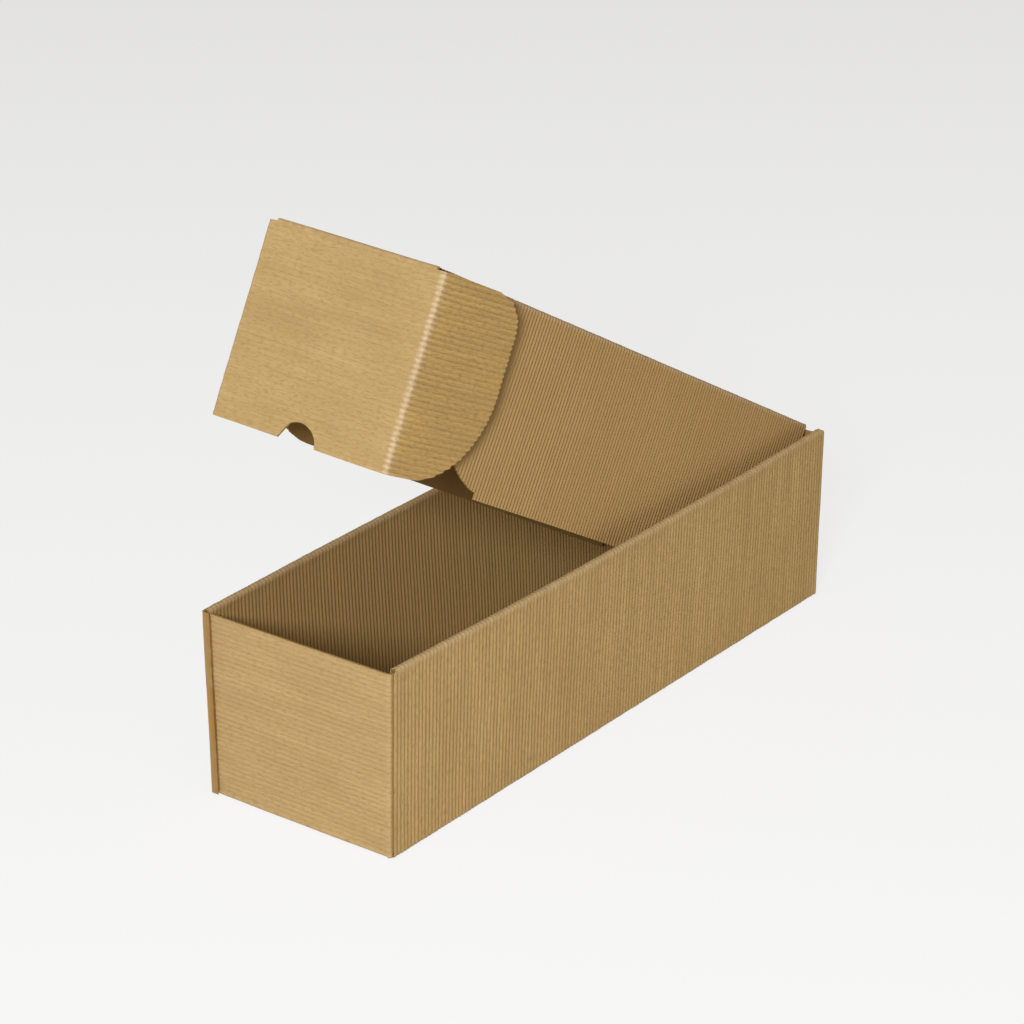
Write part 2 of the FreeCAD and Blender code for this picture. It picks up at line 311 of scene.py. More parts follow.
def heading(azimuth: float, elevation: float) -> Vector:
    """Work out a direction from the box.

    Args:
        azimuth: degrees from the box's open end, towards +X.
        elevation: degrees above the floor.

    Returns:
        The way, of length 1.
    """
    azimuth, elevation = math.radians(azimuth), math.radians(elevation)
    return Vector((math.sin(azimuth) * math.cos(elevation),
                   -math.cos(azimuth) * math.cos(elevation), math.sin(elevation)))


def grid(name: str, counts: Tuple[int, int], size: Tuple[float, float],
         middle: Sequence[float]) -> bpy.types.Object:
    """Make a level grid.

    Args:
        name: its name.
        counts: its faces along x and y.
        size: its extent along x and y.
        middle: where its middle lies.

    Returns:
        The grid.
    """
    Bench.clear()
    bpy.ops.mesh.primitive_grid_add(x_subdivisions=counts[0], y_subdivisions=counts[1], size=1,
                                    location=middle)
    piece = bpy.context.object
    piece.name = name
    piece.scale = (*size, 1)
    bpy.ops.object.transform_apply(location=True, rotation=True, scale=True)
    return piece


# ---- the board ----------------------------------------------------------------------------------
@dataclass(frozen=True)
class PaperLayer:
    """One paper layer of the board.

    Args:
        name: what the layer is called.
        depth: of its middle under the board's outer face.
        swing: of its wave to each side of that middle.
        pitch: the length that is folded at once and then repeated.
        columns: faces along one pitch.
    """

    name: str
    depth: float
    swing: float
    pitch: float
    columns: int


THICKNESS = 1.4
PAPER = 0.24
PITCH = 2.49
FOLD = 1.9
PLY_GAP = 0.1
EDGE_GAP = 0.15
END_GAP = 0.3
TAB_Y = 85.0
EASE = 1.0
UNEVENNESS = 0.35
WAVINESS = 5.0
SMOOTH_ANGLE = math.radians(50)
BETWEEN_LAYERS = 1.05
FLUTING = PaperLayer("fluting", depth=0.50, swing=0.24, pitch=PITCH, columns=8)
RUBBED = PaperLayer("fluting", depth=0.44, swing=0.16, pitch=PITCH, columns=8)
CRUSHED = PaperLayer("fluting", depth=0.44, swing=0.16, pitch=PITCH, columns=10)
FLATTENED = PaperLayer("fluting", depth=0.40, swing=0.09, pitch=PITCH, columns=10)
LINER = PaperLayer("liner", depth=THICKNESS - PAPER / 2, swing=0.0, pitch=5 * PITCH, columns=1)


@dataclass(frozen=True)
class Bend:
    """A fold of the board about a line along the waves' direction.

    Args:
        pivot: x and z of the line.
        degrees: right-handed turn about +Y.
        paleness: how much the crease has whitened the paper.
        steps: faces round the bend.
    """

    pivot: Tuple[float, float]
    degrees: float
    paleness: float = 0.3
    steps: int = 4


@dataclass(frozen=True)
class Run:
    """A straight stretch of the board, in rows of faces.

    Args:
        offset: x and z from its start to its end.
        rows: faces along it.
    """

    offset: Tuple[float, float]
    rows: int = 1


@dataclass(frozen=True)
class Press:
    """A change of the waves' height at the place that the wing has reached.

    Args:
        share: how much of the height is kept; above 1 it rises again.
    """

    share: float


Wing = Sequence[Union[Bend, Run, Press]]


@dataclass
class Board:
    """A panel of board that lies flat with its flutes up, and the wings folded from two edges.

    Args:
        name: the piece's name.
        across: the panel's x span, along the flutes.
        along: the y span that the waves run through.
        top: z of the outer face.
        rows: faces across the panel.
        right: what is folded from the panel's high x edge, outwards.
        left: what is folded from the panel's low x edge, outwards.
        layers: the paper layers, outermost first.
    """

    name: str
    across: Span
    along: Span
    top: float
    rows: int
    right: Wing = ()
    left: Wing = ()
    layers: Sequence[PaperLayer] = (FLUTING, LINER)

    def made(self) -> bpy.types.Object:
        """Fold both layers and join them.

        Returns:
            The board, still without the paper's thickness.
        """
        return joined([self._layer(layer) for layer in self.layers], self.name)

    def _layer(self, layer: PaperLayer) -> bpy.types.Object:
        """Fold one pitch of a layer and repeat it along the board.

        Args:
            layer: the layer.

        Returns:
            The folded layer, with its places along and across the ribs as marks.
        """
        low, high = self.across
        start, end = self.along
        repeats = max(1, round((end - start) / layer.pitch))
        pitch = (end - start) / repeats
        strip = grid(f"{self.name}_{layer.name}", (self.rows, layer.columns), (high - low, pitch),
                     ((low + high) / 2, start + pitch / 2, self.top - layer.depth))
        with Bench(strip) as bench:
            self._wave(bench, layer, start, pitch / layer.columns)
            self._wing(bench, self.right, lambda co: co.x > high - TOUCHING)
            self._wing(bench, self.left, lambda co: co.x < low + TOUCHING)
        apply_modifier(strip, "ARRAY", count=repeats, use_relative_offset=False,
                       use_constant_offset=True, constant_offset_displace=(0, pitch, 0),
                       use_merge_vertices=True, merge_threshold=CLOSE)
        measured(strip, "across", lambda co: co.y)
        measured(strip, "along", lambda co: co.x + math.copysign(self.top - co.z, co.x))
        return strip

    @staticmethod
    def _wave(bench: Bench, layer: PaperLayer, start: float, step: float) -> None:
        """Raise and lower the flat strip's lines of points into one wave.

        Args:
            bench: the bench with the strip.
            layer: the layer that the strip is of.
            start: y of the first line of points.
            step: from one line to the next.
        """
        bench.begin_marks(crest=0.0, crease=0.0, inside=0.0 if layer.swing else 1.0)
        if not layer.swing:
            return
        for column in range(layer.columns + 1):
            place = start + column * step
            height = math.cos(2 * math.pi * column / layer.columns)
            bench.pick(lambda co: abs(co.y - place) < step / 4)
            bench.mark("crest", 0.5 + 0.5 * height)
            bench.move((0, 0, layer.swing * height))

    @staticmethod
    def _wing(bench: Bench, wing: Wing, edge: PlaceTest) -> None:
        """Pull a wing out of the points at the panel's edge.

        Args:
            bench: the bench with the strip.
            wing: its runs, bends and presses, outwards.
            edge: says of a place whether it lies on the edge.
        """
        if not wing:
            return
        bench.pick(edge)
        for part in wing:
            if isinstance(part, Bend):
                pivot = Vector((part.pivot[0], 0, part.pivot[1]))
                arm = bench.middle() - pivot
                arm.y = 0
                bench.sweep(Axis.Y, part.degrees, pivot, part.steps)
                end = bench.middle() - pivot
                end.y = 0
                bench.mark("crease", part.paleness, lambda co: (
                    Board._in_bend(co, pivot, arm) and Board._in_bend(co, pivot, end)))
            elif isinstance(part, Press):
                bench.scale((part.share, 1, part.share), bench.middle())
            else:
                for _ in range(part.rows):
                    bench.pull((part.offset[0] / part.rows, 0, part.offset[1] / part.rows))
                    bench.mark("crease", 0.0)

    @staticmethod
    def _in_bend(place: Vector, pivot: Vector, arm: Vector) -> bool:
        """Say whether a place lies round a bend's pivot, on the side that an arm points to."""
        reach = Vector((place.x - pivot.x, 0, place.z - pivot.z))
        return reach.length < FOLD + 2 * NEARBY and reach.dot(arm.normalized()) > -NEARBY


def thickened(piece: bpy.types.Object) -> bpy.types.Object:
    """Clear away a board's loose edges, ruffle it and thicken both paper layers.

    Args:
        piece: the folded and trimmed board.

    Returns:
        The same piece.
    """
    with Bench(piece) as bench:
        bench.all()
        bpy.ops.mesh.delete_loose()
        bench.all()
        bpy.ops.mesh.normals_make_consistent(inside=False)
    texture = bpy.data.textures.new("waviness", "CLOUDS")
    texture.noise_scale = WAVINESS
    apply_modifier(piece, "DISPLACE", texture=texture, texture_coords="LOCAL", strength=UNEVENNESS)
    return solid(piece, PAPER)


def solid(piece: bpy.types.Object, thickness: float) -> bpy.types.Object:
    """Thicken a piece's sheets to both sides and smooth its shading.

    Args:
        piece: the mesh object.
        thickness: of each sheet.

    Returns:
        The same piece.
    """
    apply_modifier(piece, "SOLIDIFY", thickness=thickness, offset=0.0)
    Bench(piece)
    bpy.ops.object.shade_smooth_by_angle(angle=SMOOTH_ANGLE)
    return piece


def to_metres(piece: bpy.types.Object) -> None:
    """Bring a finished piece from millimetres to the frame's metres."""
    with Bench(piece) as bench:
        bench.all().scale((MM, MM, MM), ORIGIN)


# ---- warps: how the folded board has relaxed ----------------------------------------------------
@dataclass
class Warp:
    """A cage that bends every piece inside it the same way.

    Args:
        low: the cage's low corner.
        high: the cage's high corner.
        counts: the cage's points along x, y and z.
        push: gives each cage point's move from its place, as shares 0 to 1 of the cage.
    """

    low: Vector
    high: Vector
    counts: Tuple[int, int, int]
    push: Callable[[Vector], Vector]

    def bend(self, pieces: Sequence[bpy.types.Object]) -> None:
        """Bend the pieces with the cage.

        Args:
            pieces: the objects to bend; the cage is removed afterwards.
        """
        Bench.clear()
        bpy.ops.object.add(type="LATTICE", location=(self.low + self.high) / 2)
        cage = bpy.context.object
        cage.scale = self.high - self.low
        lattice = cage.data
        lattice.points_u, lattice.points_v, lattice.points_w = self.counts
        for name in ("u", "v", "w"):
            setattr(lattice, f"interpolation_type_{name}", "KEY_CARDINAL")
        size = self.high - self.low
        for point in lattice.points:
            share = Vector(point.co) + Vector((0.5, 0.5, 0.5))
            push = self.push(share)
            point.co_deform = Vector(point.co) + Vector(
                (push.x / size.x, push.y / size.y, push.z / size.z))
        bpy.context.view_layer.update()
        for piece in pieces:
            apply_modifier(piece, "LATTICE", object=cage)
        bpy.data.objects.remove(cage)


# ---- finishes -----------------------------------------------------------------------------------
class Paint:
    """A material's node tree, and the nodes that are added to it."""

    def __init__(self, name: str) -> None:
        """Start a material.

        Args:
            name: the material's name.
        """
        self.material = bpy.data.materials.new(name)
        self.material.use_nodes = True
        self.nodes = self.material.node_tree.nodes
        self.place = self.node("TexCoord").outputs["Object"]

    def feed(self, node: bpy.types.Node, feeds: Dict[Union[str, int], Feed]) -> None:
        """Feed a node.

        Args:
            node: the node.
            feeds: a socket to link, a colour or a number for each of its inputs.
        """
        for name, value in feeds.items():
            socket = node.inputs[name]
            if isinstance(value, bpy.types.NodeSocket):
                self.material.node_tree.links.new(value, socket)
            else:
                socket.default_value = (*value, 1.0) if socket.type == "RGBA" else value

    def node(self, kind: str, feeds: Optional[Dict[Union[str, int], Feed]] = None,
             **settings: object) -> bpy.types.Node:
        """Add a node.

        Args:
            kind: its type, without the prefix that all have.
            feeds: what goes into its inputs.
            settings: its settings by name.

        Returns:
            The node.
        """
        node = self.nodes.new(f"ShaderNode{kind}")
        for name, value in settings.items():
            setattr(node, name, value)
        self.feed(node, feeds or {})
        return node

    def noise(self, place: Feed, scale: float, detail: float,
              stretch: Colour = (1.0, 1.0, 1.0)) -> bpy.types.NodeSocket:
        """Add a noise pattern.

        Args:
            place: where it is read.
            scale: how fine it is.
            detail: how rough it is.
            stretch: how fine it is along each direction.

        Returns:
            Its value.
        """
        mapped = self.node("Mapping", {"Scale": stretch, "Vector": place}).outputs["Vector"]
        return self.node("TexNoise", {"Scale": scale, "Detail": detail,
                                      "Vector": mapped}).outputs["Fac"]

    def ramp(self, value: Feed, low: float, high: float, start: float = 0.0,
             end: float = 1.0) -> bpy.types.NodeSocket:
        """Map a value from low..high to start..end."""
        return self.node("MapRange", {"From Min": low, "From Max": high, "To Min": start,
                                      "To Max": end, "Value": value}).outputs["Result"]

    def mixed(self, share: Feed, first: Feed, second: Feed) -> bpy.types.NodeSocket:
        """Mix two colours by a share, which may run past 1."""
        return self.node("Mix", {"Factor": share, "A": first, "B": second},
                         data_type="RGBA", clamp_factor=False).outputs["Result"]

    def maths(self, operation: str, *values: Feed) -> bpy.types.NodeSocket:
        """Work out a value from others."""
        return self.node("Math", dict(enumerate(values)), operation=operation).outputs["Value"]

    def mark(self, name: str) -> bpy.types.NodeSocket:
        """Read one of the mesh's marks."""
        return self.node("Attribute", attribute_name=name).outputs["Fac"]


@dataclass(frozen=True)
class Pattern:
    """A noise pattern that darkens the paper.

    Args:
        scale: how fine it is.
        detail: how rough it is.
        low: the noise at which it starts.
        high: the noise at which it is full.
        share: how far the colour goes towards the dark one where it is full.
        stretch: how fine it is along the ribs and across them, if it runs along them.
    """

    scale: float
    detail: float
    low: float
    high: float
    share: float
    stretch: Optional[Colour] = None


@dataclass(frozen=True)
class Kraft:
    """The brown paper of the board.

    Args:
        name: the material's name.
        face: the paper's main colour, linear.
        dark: the colour of its darker blotches and fibres.
        pale: the colour of stressed paper in a crease, and of the painted highlight on crests and
            creases.
        liner: the colour of the flat inner paper, also painted as shade on the outer faces of the
            hem, the cheeks and the inner plies.
        warm: a brighter, warmer colour, painted light and bounce light on the ears and side walls.
        crest: how much lighter the waves' crests are painted, a painted highlight.
        blotches: the clouds in the paper, under its colours.
        grain: what lies over the colours: wide bands, streaks and fibres along the ribs.
        specks: the fine dark specks.
        speck_tone: how dark a speck is, as a share of the dark colour.
        wear: low, high and weakest and strongest share of the paleness of a worn crease.
        trough_wear: share of that paleness that the troughs of the waves get.
        wear_scale: how fine the wear is.
        grit: strength, height in metres and fineness of the paper's fine roughness.
        roughness: how dull the paper is.
        sheen: how much light its surface throws back.
    """

    name: str
    face: Colour
    dark: Colour
    pale: Colour
    liner: Colour
    warm: Colour
    crest: float
    blotches: Pattern = Pattern(28.0, 3.0, 0.35, 0.7, 0.35)
    grain: Tuple[Pattern, ...] = (
        Pattern(1.0, 1.0, 0.35, 0.7, 0.3, (0.012, 0.13, 1.0)),
        Pattern(1.0, 2.0, 0.35, 0.75, 0.4, (0.03, 0.55, 1.0)),
        Pattern(1.0, 2.0, 0.47, 0.72, 0.85, (0.3, 1.4, 1.0)),
    )
    specks: Pattern = Pattern(1300.0, 1.0, 0.66, 0.8, 0.6)
    speck_tone: float = 0.45
    wear: Tuple[float, ...] = (0.3, 0.6, 0.45, 1.1)
    trough_wear: float = 0.12
    wear_scale: float = 700.0
    grit: Tuple[float, float, float] = (0.3, 0.0002, 1400.0)
    roughness: float = 0.7
    sheen: float = 0.28

    def made(self) -> bpy.types.Material:
        """Build the material.

        Returns:
            The material, with a node tree that reads object coordinates and the mesh's marks.
        """
        paint = Paint(self.name)
        flat = paint.node("CombineXYZ", {"X": paint.mark("along"),
                                         "Y": paint.mark("across")}).outputs["Vector"]

        def darkened(colour: Feed, pattern: Pattern, dark: Feed) -> bpy.types.NodeSocket:
            """Lay a dark pattern over a colour.

            Args:
                colour: the colour under it.
                pattern: the pattern.
                dark: the pattern's colour.

            Returns:
                The colour with the pattern.
            """
            noise = paint.noise(flat if pattern.stretch else paint.place, pattern.scale,
                                pattern.detail, pattern.stretch or (1.0, 1.0, 1.0))
            return paint.mixed(paint.ramp(noise, pattern.low, pattern.high, 0.0, pattern.share),
                               colour, dark)

        colour = darkened(self.face, self.blotches, self.dark)
        # Painted light: a brighter, warmer colour on the ears and side walls, where the light and
        # bounce light fall warmer.
        colour = paint.mixed(paint.mark("warm"), colour, self.warm)
        # The liner's own colour; on the hem, the cheeks and the inner plies the same mix is
        # painted shade.
        colour = paint.mixed(paint.mark("inside"), colour, self.liner)
        for pattern in self.grain:
            colour = darkened(colour, pattern, self.dark)
        colour = darkened(colour, self.specks, tuple(self.speck_tone * part for part in self.dark))
        # Painted highlight: the waves' crests are painted a little paler.
        crest_highlight = paint.mark("crest")
        colour = paint.mixed(paint.ramp(crest_highlight, 0.0, 1.0, 0.0, self.crest), colour, self.pale)
        # Paper whitened in the creases, strongest on the crests, where it is also a painted
        # highlight.
        worn = paint.maths(
            "MULTIPLY", paint.ramp(crest_highlight, 0.0, 1.0, self.trough_wear, 1.0),
            paint.ramp(paint.noise(paint.place, self.wear_scale, 2.0), *self.wear))
        crease_wear_and_highlight = paint.maths("MULTIPLY", paint.mark("crease"), worn)
        colour = paint.mixed(crease_wear_and_highlight, colour, self.pale)
        strength, height, scale = self.grit
        bump = paint.node("Bump", {"Strength": strength, "Distance": height,
                                   "Height": paint.noise(paint.place, scale, 3.0)})
        paint.feed(paint.nodes["Principled BSDF"], {
            "Base Color": colour, "Roughness": self.roughness, "Specular IOR Level": self.sheen,
            "Normal": bump.outputs["Normal"]})
        return paint.material


class Finish(Enum):
    """The finishes of the box."""

    BOARD = Kraft(SLOT, face=(0.605, 0.413, 0.166), dark=(0.41, 0.255, 0.088),
                  pale=(0.84, 0.67, 0.50), liner=(0.40, 0.215, 0.055), warm=(0.72, 0.47, 0.150),
                  crest=0.05)


class Wardrobe:
    """Makes each finish once."""

    def __init__(self) -> None:
        """Make every finish."""
        self.materials = {finish: finish.value.made() for finish in Finish}

    def dress(self, piece: bpy.types.Object, finish: Finish) -> None:
        """Give a piece one finish all over.

        Args:
            piece: the mesh object.
            finish: the finish to give it.
        """
        piece.data.materials.clear()
        piece.data.materials.append(self.materials[finish])


# ---- the box's sub-assemblies ------------------------------------------------------------------
@dataclass
class Box:
    """Sizes that the sub-assemblies share, in millimetres.

    They come from the frame: the tray's box, the two hinges and how far the lid stands open.
    """

    half_width: float = field(init=False)
    half_length: float = field(init=False)
    height: float = field(init=False)
    hinge: Vector = field(init=False)
    tuck_hinge: Vector = field(init=False)

    def __post_init__(self) -> None:
        """Read the sizes from the frame."""
        _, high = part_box("tray")
        self.half_width, self.half_length, self.height = (value / MM for value in high)
        joints = {joint["name"]: joint for joint in frame["joints"]}
        self.hinge = Vector(joints["lid_hinge"]["pos_m"]) / MM
        self.tuck_hinge = Vector(joints["tuck_hinge"]["pos_m"]) / MM

    @property
    def open_angle(self) -> float:
        """Degrees between the standing lid and the tray's rim."""
        reach = self.tuck_hinge - self.hinge
        return math.degrees(math.atan2(reach.z, -reach.y))

    @property
    def tuck_y(self) -> float:
        """Y of the tuck flap's middle when the lid is shut."""
        return self.hinge.y - (self.tuck_hinge - self.hinge).length

    @property
    def inner_face(self) -> float:
        """X of the inner plies' faces."""
        return self.half_width - 3 * THICKNESS - 2 * PLY_GAP


@dataclass
class SideWall:
    """A side wall: outer ply, roll-over strip and the inner ply that locks into the base."""

    box: Box
    waves: int = 143
    overlength: float = 2.0
    far_setback: float = 2.0
    stub_drop: float = 0.4
    stub_lift: float = 1.1
    corner_radius: float = 3.2
    corner_angles: Tuple[float, ...] = (20, 45, 70)
    foot: float = 1.0
    fades: Tuple[float, float] = (5.0, 1.5)
    rises: Tuple[float, float] = (1.0, 3.0)
    presses: Tuple[float, float] = (0.6, 0.45)
    foot_press: float = 0.5
    hem_radius: float = 1.7
    hem_proud: float = 0.7
    hem_drop: float = 0.8
    # Painted shade on the bent near end of the outer ply, darker still at its edge.
    hem_painted_shade: float = 0.8
    hem_edge_painted_shade: float = 1.3
    foot_paleness: float = 0.15
    # Painted shade and painted warm bounce light on the inner ply's inward face.
    inner_painted_shade: float = 0.6
    inner_painted_warm_light: float = 0.5
    # Painted warm light on the outer ply.
    outer_painted_warm_light: float = 0.3
    tab_length: float = 30.0
    tab_depth: float = 1.4
    margin: float = 0.5
    fold_margin: float = 0.2
    hem_margin: float = 0.3

    def made(self, side: Side, near_trim: float, near_setback: float,
             hem: float = 0.0) -> bpy.types.Object:
        """Build one side wall.

        Args:
            side: which side it stands on.
            near_trim: how far the outer ply's near end stands behind the box's end.
            near_setback: how far the roll-over strip stops short of the box's near end.
            hem: width of the outer ply's near end that is bent round the corner.

        Returns:
            The folded wall, in millimetres and without thickness.
        """
        box = self.box
        half = box.half_length
        top_pivot = box.height - FOLD
        pivot_x = box.half_width - FOLD
        inner_pivot = box.inner_face + FOLD
        low_end = THICKNESS + EDGE_GAP
        start = -half - self.overlength
        wall = Board(
            f"tray_{side.name.lower()}_wall",
            across=(-top_pivot + self.fades[0], -FOLD - self.foot),
            along=(start, start + self.waves * PITCH),
            top=box.half_width,
            rows=7,
            right=[Run((self.foot, 0)), Press(self.foot_press),
                   Bend((-FOLD, pivot_x), 90, self.foot_paleness)],
            left=[Run((self.fades[1] - self.fades[0], 0)), Press(self.presses[0]),
                  Run((-self.fades[1], 0)), Press(self.presses[1]),
                  Bend((-top_pivot, pivot_x), -90), Run((0, inner_pivot - pivot_x)),
                  Bend((-top_pivot, inner_pivot), -90),
                  Run((self.rises[0], 0)), Press(1 / self.presses[1]),
                  Run((self.rises[1], 0)), Press(1 / self.presses[0]),
                  Run((top_pivot - low_end - sum(self.rises), 0), rows=7)],
            layers=(RUBBED, LINER),
        ).made()
        strip_ends = {-1: half - near_setback, 1: half - self.far_setback}
        with Bench(wall) as bench:
            self._tabs(bench, low_end)
            rolled: PlaceTest = lambda co: co.x < -top_pivot or self._inner(co)
            folded: PlaceTest = lambda co: co.x > -FOLD and co.z > pivot_x - self.fold_margin
            for end in (-1, 1):
                bench.trim(rolled, (0, end * strip_ends[end], 0), (0, end, 0))
                bench.trim(folded, (0, end * (half - FOLD - END_GAP), 0), (0, end, 0))
            drops = {-1: self.stub_drop + (self.hem_drop if hem else 0.0), 1: self.stub_drop}
            self._stubs(bench, top_pivot, strip_ends, drops)
            # Painted shade and painted warm bounce light: the inner ply's inward face is painted
            # darker and warmer.
            for mark, value in (("inside", self.inner_painted_shade), ("warm", self.inner_painted_warm_light)):
                bench.mark(mark, value, lambda co: co.z < box.inner_face + BETWEEN_LAYERS)
            outer: PlaceTest = lambda co: co.z > pivot_x + self.margin
            # Painted warm light: the outer ply is painted a little warmer.
            bench.mark("warm", self.outer_painted_warm_light, outer)
            bench.trim(outer, (0, half, 0), (0, 1, 0))
            self._round(bench, outer, half, 1)
            if hem:
                self._hem(bench, outer, hem)
            else:
                bench.trim(outer, (0, -half + near_trim, 0), (0, -1, 0))
                self._round(bench, outer, half - near_trim, -1)
            bench.all().turn(Axis.Y, 90, ORIGIN)
            if side is Side.LEFT:
                bench.scale((-1, 1, 1), ORIGIN)
        return wall

    def _inner(self, place: Vector) -> bool:
        """Say whether a place lies in the inner ply."""
        return place.z < self.box.inner_face + THICKNESS + NEARBY

    def _tabs(self, bench: Bench, low_end: float) -> None:
        """Pull the locking tabs out of the inner ply's lower edge.

        Args:
            bench: the bench with the wall.
            low_end: height of that edge.
        """
        for middle in (-TAB_Y, TAB_Y):
            bench.pick(lambda co: abs(co.y - middle) < self.tab_length / 2
                       and abs(co.x + low_end) < NEARBY and self._inner(co))
            bench.pull((self.tab_depth, 0, 0))

    def _hem(self, bench: Bench, outer: PlaceTest, width: float) -> None:
        """Bend the outer ply's near end round the box's corner.

        Args:
            bench: the bench with the wall.
            outer: says of a place whether it is in the outer ply.
            width: how far the bent end reaches across the near wall.
        """
        radius = self.hem_radius
        start = -self.box.half_length - self.hem_proud + radius
        bench.trim(outer, (0, start, 0), (0, -1, 0))
        bench.pick(lambda co: outer(co) and abs(co.y - start) < CLOSE)
        bench.sweep(Axis.X, 90, (0, start, self.box.half_width - radius), steps=4)
        # Painted shade: the bent end is painted the liner's darker colour, and its edge darker
        # still.
        bench.mark("inside", self.hem_painted_shade)
        bench.pull((0, 0, radius - width))
        bench.mark("inside", self.hem_edge_painted_shade, lambda co: co.y < start - self.hem_margin
                   and co.z < self.box.half_width - radius - self.margin)
        bench.mark("crease", 0.0, lambda co: co.y < start - NEARBY)

    def _stubs(self, bench: Bench, top_pivot: float, strip_ends: Dict[int, float],
               drops: Dict[int, float]) -> None:
        """Pull the outer ply's bare ends up beside the strip and down beside the base fold.

        Args:
            bench: the bench with the wall.
            top_pivot: height of the roll-over folds.
            strip_ends: y at which the roll-over strip stops, to each end.
            drops: how far each bare end stays below the rim.
        """
        outer: PlaceTest = lambda co: co.z > self.box.half_width - THICKNESS - NEARBY
        fold_half = self.box.half_length - FOLD - END_GAP
        column = PITCH / RUBBED.columns
        fade, foot = self.fades[1], FOLD + self.foot
        for end in (-1, 1):
            bench.pick(lambda co: end * co.y > strip_ends[end] - column
                       and abs(co.x + top_pivot - fade) < CLOSE and outer(co))
            bench.pull((-(FOLD - drops[end] + fade), 0, 0))
            bench.pick(lambda co: end * co.y > fold_half - column
                       and abs(co.x + foot) < CLOSE and outer(co))
            bench.pull((foot - self.stub_lift, 0, 0))

    def _round(self, bench: Bench, outer: PlaceTest, half: float, end: int) -> None:
        """Round the outer ply's upper corner at one end.

        Args:
            bench: the bench with the wall.
            outer: says of a place whether it is in the outer ply.
            half: from the middle of the box to that end.
            end: 1 for the far end, -1 for the near one.
        """
        radius = self.corner_radius
        centre = Vector((-(self.box.height - self.stub_drop - radius), end * (half - radius), 0))
        bench.round_off(lambda co: outer(co) and co.x < centre.x + self.margin
                        and end * (co.y - centre.y) > -self.margin,
                        centre, radius, self.corner_angles, Vector((0, end, 0)),
                        Vector((-1, 0, 0)))


@dataclass
class Base:
    """The floor of the tray, with the slots that take the inner plies' tabs."""

    box: Box
    waves: int = 141
    slot_length: float = 30.4
    slot_width: float = 1.4

    def made(self) -> bpy.types.Object:
        """Build the base.

        Returns:
            The base, in millimetres and without thickness.
        """
        half_x = self.box.half_width - FOLD
        half_y = self.box.half_length - FOLD
        start = -half_y - PITCH / 2
        base = Board("tray_base", across=(-half_x, half_x),
                     along=(start, start + self.waves * PITCH), top=0.0, rows=2).made()
        inner = self.box.inner_face + THICKNESS / 2 + PLY_GAP
        with Bench(base) as bench:
            for end in (-1, 1):
                bench.all().cut((0, end * half_y, 0), (0, end, 0))
                for edge in (-1, 1):
                    bench.all().cut((end * inner + edge * self.slot_width / 2, 0, 0), (1, 0, 0),
                                    False)
            in_slot: PlaceTest = lambda co: (abs(abs(co.x) - inner)
                                             < self.slot_width / 2 - TOUCHING)
            for middle in (-TAB_Y, TAB_Y):
                for edge in (-1, 1):
                    bench.pick_faces(in_slot)
                    bench.cut((0, middle + edge * self.slot_length / 2, 0), (0, 1, 0), False)
            bench.pick_faces(lambda co: in_slot(co)
                             and abs(abs(co.y) - TAB_Y) < self.slot_length / 2)
            bpy.ops.mesh.delete(type="FACE")
            bench.all().turn(Axis.Y, 180, ORIGIN)
        return base


def mirrored(pivot: Tuple[float, float], press: float, drop: float, rows: int, regain: float,
             paleness: float, steps: int = 4) -> List[Wing]:
    """Work out the wings that fold down along both edges of a panel.

    Args:
        pivot: x and z of the right fold's line.
        press: how much of the waves' height the fold leaves.
        drop: how far each wing reaches below its fold.
        rows: faces along it.
        regain: the share of the height that the waves have beyond the fold.
        paleness: how much the crease has whitened the paper.
        steps: faces round the fold.

    Returns:
        The right wing and the left one.
    """
    return [[Run((side * EASE, 0)), Press(press),
             Bend((side * pivot[0], pivot[1]), side * 90, paleness, steps),
             Run((0, -EASE)), Press(regain / press), Run((0, EASE - drop), rows)]
            for side in (1, -1)]


@dataclass
class EndWall:
    """An end wall with its base fold and the corner flaps between the side walls' plies."""

    box: Box
    waves: int = 36
    flap_length: float = 58.0
    flap_taper: float = 3.0
    flap_press: float = 0.35
    skirt: float = 0.4
    foot_paleness: float = 0.07
    skirt_margin: float = 0.5
    foot_margin: float = 0.4

    def made(self, name: str, top: float, far: bool) -> bpy.types.Object:
        """Build one end wall.

        Args:
            name: the piece's name.
            top: height of its upper edge.
            far: True for the end that carries the lid.

        Returns:
            The end wall, in millimetres and without thickness.
        """
        pivot_x = self.box.half_width - THICKNESS - PLY_GAP - FOLD
        face = self.box.half_length
        pivot_z = face - FOLD
        foot = FOLD + END_GAP
        right, left = mirrored((pivot_x, pivot_z), self.flap_press, self.flap_length, rows=5,
                               regain=1.0, paleness=0.0, steps=5)
        wall = Board(name, across=(EASE - pivot_x, pivot_x - EASE),
                     along=(foot, foot + self.waves * PITCH), top=face, rows=8, right=right,
                     left=left, layers=(FLATTENED, LINER)).made()
        with Bench(wall) as bench:
            bench.all().cut((0, top, 0), (0, 1, 0))
            flap: PlaceTest = lambda co: co.z < pivot_z + TOUCHING
            slope = math.atan2(self.flap_taper, self.flap_length)
            bench.trim(flap, (0, foot, pivot_z), (0, -math.cos(slope), -math.sin(slope)))
            bench.trim(flap, (0, top, pivot_z), (0, math.cos(slope), -math.sin(slope)))
            bench.pick(lambda co: co.y < foot + CLOSE and abs(co.x) > pivot_x - TOUCHING
                       and co.z > pivot_z - self.skirt_margin)
            bench.pull((0, self.skirt - foot, 0))
            bench.pick(lambda co: abs(co.y - foot) < CLOSE and abs(co.x) < pivot_x + TOUCHING
                       and co.z > pivot_z + self.foot_margin)
            bench.pull((0, -END_GAP, 0))
            bench.sweep(Axis.X, 90, (0, FOLD, pivot_z), steps=5)
            bench.mark("crease", self.foot_paleness, lambda co: co.z > pivot_z)
            bench.all().turn(Axis.X, 90, ORIGIN)
            if far:
                bench.turn(Axis.Z, 180, ORIGIN)
        return wall


